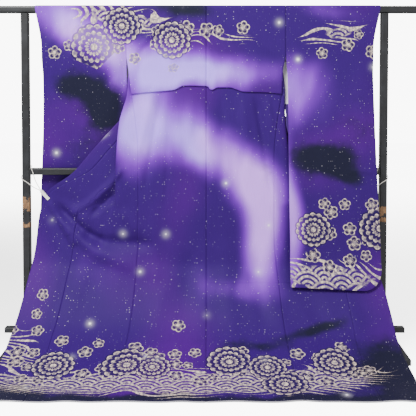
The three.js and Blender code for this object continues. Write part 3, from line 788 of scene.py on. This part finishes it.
def flowers(paint, u, v, cell, where):
    """Scattered ringed blossoms whose middles lie in the given patches: line work and cover."""
    _, at, chance = paint.cells(paint.join(u, v, 0.0), 1 / cell, 0.7)
    size = (chance[0] * 0.16 + 0.34) * cell
    du = (u - at[0]) / size
    dv = (v - at[1]) / size
    far = long_way(du, dv)
    angle = dv.turn(du) + chance[1] * TURN
    ring = (far * FLOWER_RINGS).floor()
    petal = (angle * (FLOWER_PETALS / TURN) + ring * 0.5).fract() - 0.5
    grade = (far * FLOWER_RINGS + petal * petal * 1.6 - 0.4).fract()
    inside = (far + petal * petal * 0.25).ease(1.02, 0.98)
    line = grade.ease(0.42, 0.92) * grade.ease(1.0, 0.96)
    rib = abs(petal).ease(0.5, 0.38) * 0.55 + 0.45
    heart = far.ease(0.16, 0.12)
    here = (blobs(at[0], at[1], where) + chance[2] * 0.24).ease(0.60, 0.61) * inside
    return (line * rib).most(heart) * here, here


def blossoms(paint, u, v, cell, where):
    """Scattered five-petal blossoms, chosen in the same way."""
    _, at, chance = paint.cells(paint.join(u, v, 0.0), 1 / cell, 0.85)
    size = (chance[0] * 0.14 + 0.24) * cell
    du = (u - at[0]) / size
    dv = (v - at[1]) / size
    far = long_way(du, dv)
    angle = dv.turn(du) + chance[1] * TURN
    fold = ((angle * (BLOSSOM_PETALS / TURN)).fract() - 0.5) * (TURN / BLOSSOM_PETALS)
    round_petal = long_way(far * fold.cos() - 0.56, far * fold.sin()) / 0.44
    cover = round_petal.ease(1.02, 0.96)
    rim = round_petal.ease(0.45, 0.95)
    stamen = (angle * 15).cos().ease(0.5, 0.9) * far.ease(0.55, 0.5) * far.ease(0.16, 0.2)
    heart = far.ease(0.13, 0.1)
    here = (blobs(at[0], at[1], where) + chance[2] * 0.4).ease(0.52, 0.53)
    return (rim * cover).most(stamen).most(heart) * here, cover.most(heart) * here


def fans(u, v, radius):
    """Overlapping rings of the wave-fan pattern: line brightness over the whole plane."""
    chosen = None
    found = None
    for k in (2, 1, 0, -1):
        row = (v / (radius * 0.5)).floor() + float(k)
        shift = (row * 0.5).fract() * 2
        cu = ((u / radius - shift) * 0.5 + 0.5).floor() * 2 + shift
        far = long_way(u / radius - cu, (v - row * (radius * 0.5)) / radius)
        hit = far.below(1.0)
        if chosen is None:
            chosen = far * hit
            found = hit
        else:
            first = hit * (found * -1.0 + 1.0)
            chosen = chosen + far * first
            found = found.most(hit)
    ring = (chosen * 4).fract()
    return ring.ease(0.28, 0.5) * ring.ease(0.98, 0.8)


def streams(paint, u, v, wet):
    """Flowing water: uneven lines that thin out to points where wet falls to nothing."""
    sway = paint.noise(paint.join(u, v * 2.2, 3.0), 2.6, 1.5)
    level = v * 40 + sway * 15 + (u * 5).sin() * 1.2
    strand = abs(level.fract() - 0.5)
    width = paint.noise(paint.join(u, v * 3, 8.0), 6.0, 1.0) * 0.36 + 0.04
    return (strand - width * wet.ease(0.25, 0.65)).ease(0.0, -0.05)


def blobs(u, v, patches):
    """Sum of soft tilted ellipses."""
    total = None
    for cu, cv, wide, high, tilt, strength in patches:
        cosine, sine = math.cos(tilt), math.sin(tilt)
        du, dv = u - cu, v - cv
        a = du * (cosine / wide) + dv * (sine / wide)
        b = dv * (cosine / high) - du * (sine / high)
        part = (-(a * a + b * b)).math("EXPONENT") * strength
        total = part if total is None else total + part
    return total


def dyed_ground(paint, u, v, glows, darks):
    """Shaded ground with its light bands, dark patches, specks and stars; also the drift noise for reuse.
    """
    plane = paint.join(u, v, 0.0)
    drift = paint.noise(plane, 3.2, 3.0, 0.55)
    cross = paint.noise(paint.join(v, u, 0.0), 2.1, 1.0, 0.4)
    wu = u + (cross - 0.5) * 0.16
    wv = v + (drift - 0.5) * 0.07
    streak = paint.noise(paint.join(wu * 3.0, wv * 0.9, 0.0), 2.6, 2.0, 0.5)
    glow = blobs(wu, wv, glows) * (streak * 1.5 + 0.25)
    shred = paint.noise(plane, 11.0, 4.0, 0.6)
    dark = blobs(wu, wv, darks) + (drift - 0.5) * 0.8 + (shred - 0.5) * 0.75
    hue = paint.noise(plane, 1.7, 2.0)
    ground = paint.mix(hue.ease(0.42, 0.72), INK, VIOLET)
    ground = paint.mix(glow.ease(0.06, 0.60), ground, BRIGHT)
    ground = paint.mix(glow.ease(0.36, 1.30), ground, paint.mix(hue.ease(0.35, 0.65), GLOW, GLOW_BLUE))
    ground = paint.mix(dark.ease(0.22, 0.92), ground, SLATE)

    near, _, chance = paint.cells(plane, SPECK_CELLS)
    cluster = shred.ease(0.35, 0.60) * 0.7 + 0.3
    speck = (near - chance[0] * 0.13).ease(0.07, -0.05) * chance[1].ease(0.80, 1.0) * cluster
    rare, _, luck = paint.cells(plane, STAR_CELLS)
    star = (rare / (luck[0] * 0.020 + 0.012)).bell() + (rare / 0.085).bell() * 0.22
    light = (speck * 0.80).most(star * luck[1].ease(0.64, 0.84))
    return paint.mix(light.least(1.0), ground, WHITE), drift


def line_work(paint, u, v, motifs, water, drift):
    """Silver lines of blossoms, fans and streams, and the places that the blossoms cover."""
    big, big_here = flowers(paint, u, v, FLOWER_CELL, motifs)
    across, along = BLOSSOM_SHIFT
    moved = [(row[0] + across, row[1] + along) + row[2:] for row in motifs]
    small, small_here = blossoms(paint, u + across, v + along, BLOSSOM_CELL, moved)
    covered = big_here.most(small_here)
    clear = covered * -1.0 + 1.0
    small = small * (big_here * -1.0 + 1.0)
    wet = blobs(u, v, water) + (drift - 0.5) * 0.9
    wave = fans(u, v, FAN_RADIUS) * wet.ease(0.70, 0.80) * clear
    stream = streams(paint, u, v, wet) * wet.ease(0.80, 0.70) * clear
    return big.most(small).most(wave * 0.85).most(stream * 0.9), covered


def press_lines(u, v):
    """Height of the lines pressed in by folding: one across the skirt and one down it."""
    level = ((v - PRESSED["along"]) / PRESSED["wide"]).bell() * u.ease(-0.03, 0.02)
    upright = ((u - PRESSED["across"]) / PRESSED["wide"]).bell()
    return level.most(upright * v.ease(1.07, 1.02) * v.ease(0.84, 0.90))


def silk(name, glows, darks, motifs, water):
    """Dyed crepe silk with silver line work, in the flat cloth's own sizes."""
    paint = Paint(name)
    uv = paint.node("ShaderNodeUVMap", uv_map=CLOTH_MAP)
    u, v, _ = paint.split(uv.outputs[0])
    ground, drift = dyed_ground(paint, u, v, glows, darks)
    drawn, covered = line_work(paint, u, v, motifs, water, drift)
    ground = paint.mix(covered * 0.55, ground, SLATE)
    edge = v.ease(HEM - 0.0050, HEM - 0.0035)
    ground = paint.mix(edge * 0.5, ground, LINING)
    worn = paint.noise(paint.join(u, v, 0.0), 90.0, 2.0, 0.6)
    silver = paint.mix(worn.ease(0.35, 0.7), SILVER_SHADE, SILVER)
    colour = paint.mix((drawn * (worn * 0.5 + 0.68)).least(0.96), ground, silver)
    yarn = (u * (TURN / YARN_PITCH)).sin() * 0.5
    crepe = crepe_grain(paint, u, v)
    paint.set(Base_Color=slubbed(paint, colour, u, v, 0.16), Roughness=crepe * 0.16 - drawn * 0.10 + 0.50)
    paint.set(Specular_IOR_Level=0.12, Sheen_Weight=0.05)
    paint.set(Sheen_Roughness=0.45, Sheen_Tint=(0.6, 0.4, 1.0, 1))
    paint.bump((crepe + yarn * 0.5) * 0.25 + press_lines(u, v), PRESSED["high"], 0.6)
    return paint.material


def crepe_grain(paint, u, v):
    """Height of the crepe's fine grain."""
    return paint.noise(paint.join(u * 2.2, v * 0.8, 0.0), CREPE_SCALE, 1.0)


def slubbed(paint, colour, u, v, depth):
    """The colour, darker and lighter by depth in long fine slubs."""
    tone = paint.noise(paint.join(u * 6, v * 0.4, 0.0), 55.0, 2.0)
    grain = paint.node("ShaderNodeHueSaturation")
    paint.tree.links.new(colour, grain.inputs["Color"])
    paint.tree.links.new((tone * depth + (1 - depth / 2)).socket, grain.inputs["Value"])
    return grain.outputs[0]


def lining(name, facing_at):
    """Pale lining; facing_at gives the cover of the violet facing from the cloth's own sizes."""
    paint = Paint(name)
    uv = paint.node("ShaderNodeUVMap", uv_map=CLOTH_MAP)
    u, v, _ = paint.split(uv.outputs[0])
    hue = paint.noise(paint.join(u, v, 0.0), 2.3, 2.0)
    facing = paint.mix(hue.ease(0.3, 0.7), INK, VIOLET)
    colour = paint.mix(facing_at(u, v), LINING, facing)
    crepe = crepe_grain(paint, u, v)
    paint.set(Base_Color=slubbed(paint, colour, u, v, 0.14), Roughness=crepe * 0.12 + 0.42)
    paint.set(Specular_IOR_Level=0.4, Sheen_Weight=0.2, Sheen_Roughness=0.4)
    paint.bump(crepe, 0.0002, 0.5)
    return paint.material


def body_facing(_, v):
    """A facing 65 cm high along the hem."""
    return v.ease(HEM - 0.652, HEM - 0.650)


def sleeve_facing(u, v):
    """A facing at the cuff, and one low down along the far wall's inner edge."""
    cuff = abs(u).ease(0.600, 0.601)
    return cuff.most(abs(u).ease(0.386, 0.385) * v.ease(-0.452, -0.456))


def lacquer(name, bare):
    """Black lacquer, worn: bare gives the patches down to the wood, as (height, half length)."""
    paint = Paint(name)
    where = paint.node("ShaderNodeNewGeometry")
    place = where.outputs["Position"]
    cloud = paint.noise(place, 14.0, 4.0, 0.6, flat=False)
    grit = paint.noise(place, 160.0, 3.0, 0.65, flat=False)
    edges = paint.node("ShaderNodeBevel", samples=4)
    edges.inputs["Radius"].default_value = 0.004
    turned = paint.node("ShaderNodeVectorMath", operation="DOT_PRODUCT")
    paint.tree.links.new(edges.outputs[0], turned.inputs[0])
    paint.tree.links.new(where.outputs["Normal"], turned.inputs[1])
    rim = (Field(paint.tree, turned.outputs["Value"]) * -1.0 + 1.0).ease(0.0, 0.22)
    colour = paint.mix(cloud.ease(0.35, 0.7), LACQUER, LACQUER_DULL)
    colour = paint.mix(rim * grit.ease(0.45, 0.62) * 0.6, colour, RUBBED)
    rough = cloud * 0.22 + grit * 0.10 + 0.30
    if bare:
        x, y, z = paint.split(place)
        worn = bare_wood(paint, place, z, grit, bare)
        along = paint.noise(paint.join(x * 8, y * 8, z * 0.6), 30.0, 3.0, 0.6, flat=False)
        colour = paint.mix(worn, colour, paint.mix(along.ease(0.3, 0.7), WOOD_DARK, WOOD))
        rough = rough + worn * 0.25
    paint.set(Base_Color=colour, Roughness=rough.least(0.9), Specular_IOR_Level=0.5)
    paint.bump(grit + cloud * 0.6, 0.0004, 0.5)
    return paint.material


def bare_wood(paint, place, z, grit, bare):
    """Cover of the bare patches, with ragged edges."""
    blotch = paint.noise(place, 52.0, 2.0, 0.5, flat=False)
    worn = None
    for height, half in bare:
        spot = (z - height) / half
        part = (spot * spot * -1.0 + 1.0) + (blotch - 0.5) * 5.0 + (grit - 0.5) * 2.4
        worn = part if worn is None else worn.most(part)
    return worn.ease(0.05, 0.35) * 0.9


def plastic(name):
    """Matt white moulded plastic, a little scuffed."""
    paint = Paint(name)
    place = paint.node("ShaderNodeNewGeometry").outputs["Position"]
    scuff = paint.noise(place, 220.0, 3.0, 0.6, flat=False)
    paint.set(Base_Color=paint.mix(scuff.ease(0.4, 0.75), PLASTIC, PLASTIC_SCUFFED))
    paint.set(Roughness=scuff * 0.2 + 0.35)
    paint.bump(scuff, 0.0002, 0.4)
    return paint.material


def twine(name):
    """White cotton string with its twist, darker in the twist's grooves as painted shade."""
    paint = Paint(name)
    place = paint.node("ShaderNodeNewGeometry").outputs["Position"]
    x, y, z = paint.split(place)
    twist = ((x + y * 0.6 + z * 1.4) * 2600.0).sin() * 0.5 + 0.5
    fluff = paint.noise(place, 900.0, 2.0, 0.6, flat=False)
    # Painted shade: the cotton turns darker in the grooves between the twist's ridges.
    paint.set(Base_Color=paint.mix(twist * 0.6 + fluff * 0.4, COTTON_PAINTED_SHADE, COTTON))
    paint.set(Roughness=fluff * 0.1 + 0.8, Specular_IOR_Level=0.2)
    paint.bump(twist + fluff, 0.0004, 0.7)
    return paint.material


# Places on the flat cloth, in metres: u across from the centre seam, v down from the rail
# Glows, darks, motifs and water are rows of (u, v, half width, half height, tilt, strength)
BODY_GLOWS = [
    (-0.03, 0.21, 0.26, 0.065, -0.06, 1.1),
    (-0.19, 0.17, 0.13, 0.09, 0.2, 0.8),
    (-0.25, 0.45, 0.085, 0.15, 0.15, 1.25),
    (-0.03, 0.54, 0.2, 0.085, 0.42, 1.35),
    (0.17, 0.68, 0.12, 0.085, 0.8, 0.95),
    (0.215, 0.90, 0.068, 0.19, -0.05, 1.15),
    (-0.05, 1.1, 0.14, 0.26, 0.1, 0.10),
    (-0.42, 1.02, 0.16, 0.14, 0.3, 0.14),
    (0.12, 1.09, 0.13, 0.045, 0.1, 0.30),
    (-0.455, 0.06, 0.23, 0.065, 0.52, 1.3),
]
BODY_DARKS = [
    (-0.08, -0.06, 0.15, 0.04, 0.1, 0.95),
    (0.0, 1.665, 1.3, 0.06, 0.0, 1.2),
    (0.66, 1.5, 0.19, 0.19, -0.5, 1.3),
    (-0.74, 1.6, 0.22, 0.1, 0.0, 1.1),
    (0.4, 1.25, 0.17, 0.03, -0.33, 1.0),
    (0.16, 1.33, 0.12, 0.03, 0.1, 0.7),
    (-0.40, 0.74, 0.15, 0.10, 0.5, 0.50),
    # This strip is partly the print's dark edge and partly painted shade of the fold that runs down below
    # the waist on the right.
    (0.235, 0.58, 0.05, 0.20, 0.0, 0.50),
    (0.02, 1.08, 0.14, 0.08, 0.1, 0.30),
]
BODY_MOTIFS = [
    (0.1, 1.44, 0.34, 0.1, 0.05, 1.2),
    (-0.14, 1.36, 0.16, 0.1, 0.2, 1.0),
    (-0.52, 1.42, 0.24, 0.12, 0.25, 1.1),
    (-0.62, 1.26, 0.1, 0.12, 0.2, 0.8),
    (0.46, 1.4, 0.12, 0.07, 0.2, 0.8),
    (-0.27, 0.07, 0.16, 0.09, 0.3, 1.2),
    (0.03, 0.01, 0.12, 0.05, 0.1, 0.9),
]
BODY_WATER = [
    (-0.16, 1.53, 0.62, 0.075, 0.0, 1.1),
    (0.3, 1.5, 0.26, 0.07, -0.1, 0.9),
    (-0.66, 1.36, 0.12, 0.14, 0.2, 0.6),
    (-0.3, -0.01, 0.24, 0.055, 0.15, 0.85),
    (0.12, 0.06, 0.12, 0.03, 0.0, 0.6),
]
SLEEVE_GLOWS = [
    (-0.455, 0.06, 0.23, 0.065, 0.52, 1.3),
    (-0.33, 0.23, 0.05, 0.07, 0.2, 0.7),
    (0.35, 0.26, 0.13, 0.11, 0.7, 0.70),
    (0.325, 0.78, 0.04, 0.26, 0.0, 0.9),
    (0.5, -0.05, 0.14, 0.05, 0.2, 0.25),
    (-0.4, -0.27, 0.18, 0.08, -0.4, 1.0),
    (0.5, -0.47, 0.12, 0.2, 0.3, 0.8),
]
SLEEVE_DARKS = [
    (-0.49, 0.255, 0.15, 0.065, 0.3, 1.1),
    (-0.4, 0.36, 0.085, 0.08, 0.2, 1.0),
    (0.44, 0.53, 0.12, 0.06, 0.1, 1.05),
    (0.52, 0.6, 0.07, 0.04, 0.2, 0.7),
    (0.52, 0.38, 0.13, 0.10, 0.2, 0.35),
    (-0.50, 0.50, 0.12, 0.08, 0.2, 0.35),
    (-0.45, -0.57, 0.14, 0.08, 0.3, 1.0),
    (0.5, -0.87, 0.12, 0.08, 0.3, 1.0),
]
SLEEVE_MOTIFS = [
    (-0.27, 0.07, 0.16, 0.09, 0.3, 1.2),
    (-0.5, 0.13, 0.1, 0.07, 0.3, 1.1),
    (0.55, 0.82, 0.15, 0.12, -0.3, 1.2),
    (0.56, 0.1, 0.1, 0.06, 0.1, 0.9),
    (-0.52, 0.88, 0.14, 0.11, 0.2, 1.1),
    (0.46, -0.52, 0.14, 0.11, 0.3, 1.1),
    (-0.5, -0.97, 0.14, 0.11, 0.3, 1.1),
]
SLEEVE_WATER = [
    (-0.3, -0.01, 0.24, 0.055, 0.15, 0.85),
    (0.46, 0.98, 0.24, 0.07, 0.0, 1.05),
    (0.5, 0.04, 0.16, 0.05, -0.1, 0.8),
    (-0.46, 1.01, 0.2, 0.06, 0.0, 1.0),
    (0.42, -1.12, 0.2, 0.07, 0.0, 1.0),
]

body_silk = silk("body_silk", BODY_GLOWS, BODY_DARKS, BODY_MOTIFS, BODY_WATER)
sleeve_silk = silk("sleeve_silk", SLEEVE_GLOWS, SLEEVE_DARKS, SLEEVE_MOTIFS, SLEEVE_WATER)
body_lining = lining("body_lining", body_facing)
sleeve_lining = lining("sleeve_lining", sleeve_facing)

# Rows down each kind of piece, and columns across
BACK_COLUMNS = 40
PANEL_COLUMNS = 90
OKUMI_COLUMNS = 30
COLLAR_COLUMNS = 12
NECK_COLUMNS = 40
WRAP_ROWS = steps(WRAP_START + SEAM_LINE, RAIL_CORNER, 0.0015)


def chained(*runs):
    """Runs of rows joined where each ends and the next begins."""
    return np.concatenate([runs[0]] + [run[1:] for run in runs[1:]])


BACK_ROWS = chained(
    WRAP_ROWS - TUCK_EXTRA,
    steps(RAIL_CORNER - TUCK_EXTRA, 0.192, 0.006),
    steps(0.192, 0.268, 0.004),
    steps(0.268, 0.330, 0.001),
    steps(0.330, 0.450, 0.005),
    steps(0.450, HEM - 0.030, 0.007),
    steps(HEM - 0.030, HEM, 0.002),
)
FRONT_ROWS = chained(
    WRAP_ROWS,
    steps(RAIL_CORNER, OKUMI_TOP, 0.0055),
    steps(OKUMI_TOP, HEM - 0.030, 0.007),
    steps(HEM - 0.030, HEM, 0.002),
)
ABOVE_BOTTOM = np.array([80, 68, 57, 47, 38, 30, 23, 17, 12, 8, 5, 3, 1.5, 0.6, 0]) / 1000
SLEEVE_ROWS = chained(
    WRAP_ROWS,
    steps(RAIL_CORNER, SLEEVE_LONG - 0.080, 0.007),
    SLEEVE_LONG - ABOVE_BOTTOM,
)
SLEEVE_ACROSS = chained(
    np.array([0, 0.003, 0.008, 0.016, 0.03]),
    np.linspace(0.03, 0.86, 44),
    1 - np.array([140, 120, 102, 86, 72, 59, 47, 37, 28, 20, 13.5, 8.5, 5, 2.5, 1, 0]) / 1000,
)

BODY_LOOK = (body_silk, body_lining)
COLLAR_LOOK = (body_silk, body_silk)
SLEEVE_LOOK = (sleeve_silk, sleeve_lining)
OVER_RAIL = ["top_rail"]


def front_piece(kind, side_name, drop, start, end, columns, look, rests_on):
    """A piece of the front that spans start to end of its width, less the seam at either side."""
    points, dye = front_grid(side_name, drop, start + SEAM_LINE, end - SEAM_LINE, columns)
    cloth(kind + "_" + side_name, points, dye, SIDES[side_name], look, rests_on)


def body_side(side_name):
    """Back, front, overlap panel and collar of one side."""
    points, dye = back_grid(side_name, BACK_ROWS)
    cloth("back_" + side_name, points, dye, SIDES[side_name], BODY_LOOK, OVER_RAIL)

    rows = FRONT_ROWS
    split = np.where(rows < OKUMI_TOP, collar_seam(side_name, rows), okumi_seam(side_name, rows))
    start = np.zeros(len(rows))
    front_piece("front", side_name, rows, start, split, PANEL_COLUMNS, BODY_LOOK, OVER_RAIL)

    rows = FRONT_ROWS[FRONT_ROWS >= OKUMI_TOP - 1e-9]
    start, end = okumi_seam(side_name, rows), collar_seam(side_name, rows)
    front = ["front_" + side_name + "_silk"]
    front_piece("okumi", side_name, rows, start, end, OKUMI_COLUMNS, BODY_LOOK, front)

    rows = FRONT_ROWS[FRONT_ROWS <= COLLAR_END]
    start, end = collar_seam(side_name, rows), front_width(side_name, rows)
    front_piece("collar", side_name, rows, start, end, COLLAR_COLUMNS, COLLAR_LOOK, OVER_RAIL)


def sleeve(side_name):
    """Both walls of one sleeve."""
    for face, layer in (("back", -1), ("front", 1)):
        points, dye = sleeve_grid(side_name, layer, SLEEVE_ROWS, SLEEVE_ACROSS)
        name = "sleeve_" + side_name + "_" + face
        cloth(name, points, dye, -layer * SIDES[side_name], SLEEVE_LOOK, OVER_RAIL)


def collar_behind_neck():
    """The collar over the rail and a little way down behind it."""
    rows = chained(WRAP_ROWS, steps(RAIL_CORNER, COLLAR_WIDE, 0.003))
    y, z = over_rail(np.minimum(rows, RAIL_CORNER), 1)
    z = np.where(rows > RAIL_CORNER, RAIL_TOP - rows, z)
    x = (NECK_HALF - SEAM) * np.linspace(-1, 1, NECK_COLUMNS + 1)[None, :]
    dye = np.stack(np.broadcast_arrays(x, -rows[:, None]), axis=-1)
    cloth("collar_neck", stack(x, y[:, None], z[:, None]), dye, -1, COLLAR_LOOK, OVER_RAIL)


for side_name in SIDES:
    body_side(side_name)
    sleeve(side_name)
collar_behind_neck()

# Bare patches of the posts: height above the floor, half length
BARE_LEFT = [(0.517, 0.028), (0.432, 0.010)]
BARE_RIGHT = [(0.492, 0.020), (0.452, 0.010)]

# The stand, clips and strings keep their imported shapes
plain_lacquer = lacquer("lacquer", [])
LOOKS = {
    "top_rail": plain_lacquer,
    "mid_rail": plain_lacquer,
    "tie_rail": plain_lacquer,
    "foot_left": plain_lacquer,
    "foot_right": plain_lacquer,
    "post_left": lacquer("lacquer_post_left", BARE_LEFT),
    "post_right": lacquer("lacquer_post_right", BARE_RIGHT),
}
white = plastic("clip_plastic")
cotton = twine("cotton_string")
for label in SIDES:
    LOOKS["clip_" + label] = white
    LOOKS["string_" + label] = cotton
for node, look in LOOKS.items():
    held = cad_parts[node]
    held.data.materials.clear()
    held.data.materials.append(look)

# Floor, light and camera
FLOOR_HALF = 12
FLOOR_LEVEL = -0.0005
SKY_LIGHT = 0.60
SKY_SEEN = 9.0
FLOOR_SEEN = 8.0
LAMPS = [
    dict(name="window", place=(-1.3, -1.9, 3.1), target=(0, 0.1, 0.6), size=1.2, power=195),
    dict(name="fill", place=(2.6, -2.2, 1.8), target=(0, 0.1, 0.7), size=2.0, power=30),
]
CAMERA = dict(x=0.013, away=2.5, high=0.915, down=2, sensor=36, lens=54.83, shift=-0.2)


def pale_floor():
    """Pale floor that the camera sees lit up, and a little less so behind the stand."""
    paint = Paint("pale_floor")
    paint.set(Base_Color=(0.86, 0.86, 0.855, 1), Roughness=0.7, Specular_IOR_Level=0.2)
    x, y, _ = paint.split(paint.node("ShaderNodeNewGeometry").outputs["Position"])
    shaded = y.ease(-0.5, 0.3) * y.ease(4.5, 0.9) * (x.ease(2.2, -2.2) * 0.35 + 0.45)
    seen = Field(paint.tree, paint.node("ShaderNodeLightPath").outputs["Is Camera Ray"])
    paint.set(Emission_Color=(1, 1, 1, 1), Emission_Strength=(shaded * -FLOOR_SEEN + FLOOR_SEEN) * seen)
    return paint.material


corners = [(x * FLOOR_HALF, y * FLOOR_HALF, FLOOR_LEVEL) for x, y in ((-1, -1), (1, -1), (1, 1), (-1, 1))]
floor = bpy.data.objects.new("floor", bpy.data.meshes.new("floor"))
floor.data.from_pydata(corners, [], [(0, 1, 2, 3)])
floor.data.materials.append(pale_floor())
bpy.context.collection.objects.link(floor)

world = bpy.data.worlds.new("studio")
bpy.context.scene.world = world
world.use_nodes = True
sky = world.node_tree.nodes["Background"]
sky.inputs["Color"].default_value = (1, 1, 1, 1)
seen = world.node_tree.nodes.new("ShaderNodeLightPath")
amount = world.node_tree.nodes.new("ShaderNodeMapRange")
amount.inputs["To Min"].default_value = SKY_LIGHT
amount.inputs["To Max"].default_value = SKY_SEEN
world.node_tree.links.new(seen.outputs["Is Camera Ray"], amount.inputs["Value"])
world.node_tree.links.new(amount.outputs["Result"], sky.inputs["Strength"])

for lamp in LAMPS:
    light = bpy.data.lights.new(lamp["name"], "AREA")
    light.shape = "RECTANGLE"
    light.size = light.size_y = lamp["size"]
    light.energy = lamp["power"]
    held = bpy.data.objects.new(lamp["name"], light)
    bpy.context.collection.objects.link(held)
    held.location = lamp["place"]
    aim = Vector(lamp["target"]) - Vector(lamp["place"])
    held.rotation_euler = aim.to_track_quat("-Z", "Y").to_euler()

camera = bpy.data.objects.new("camera", bpy.data.cameras.new("camera"))
bpy.context.collection.objects.link(camera)
camera.location = (CAMERA["x"], RAIL_Y - CAMERA["away"], CAMERA["high"])
camera.rotation_euler = (math.radians(90 - CAMERA["down"]), 0, 0)
camera.data.sensor_width = CAMERA["sensor"]
camera.data.lens = CAMERA["lens"]
camera.data.shift_y = CAMERA["shift"]
bpy.context.scene.camera = camera
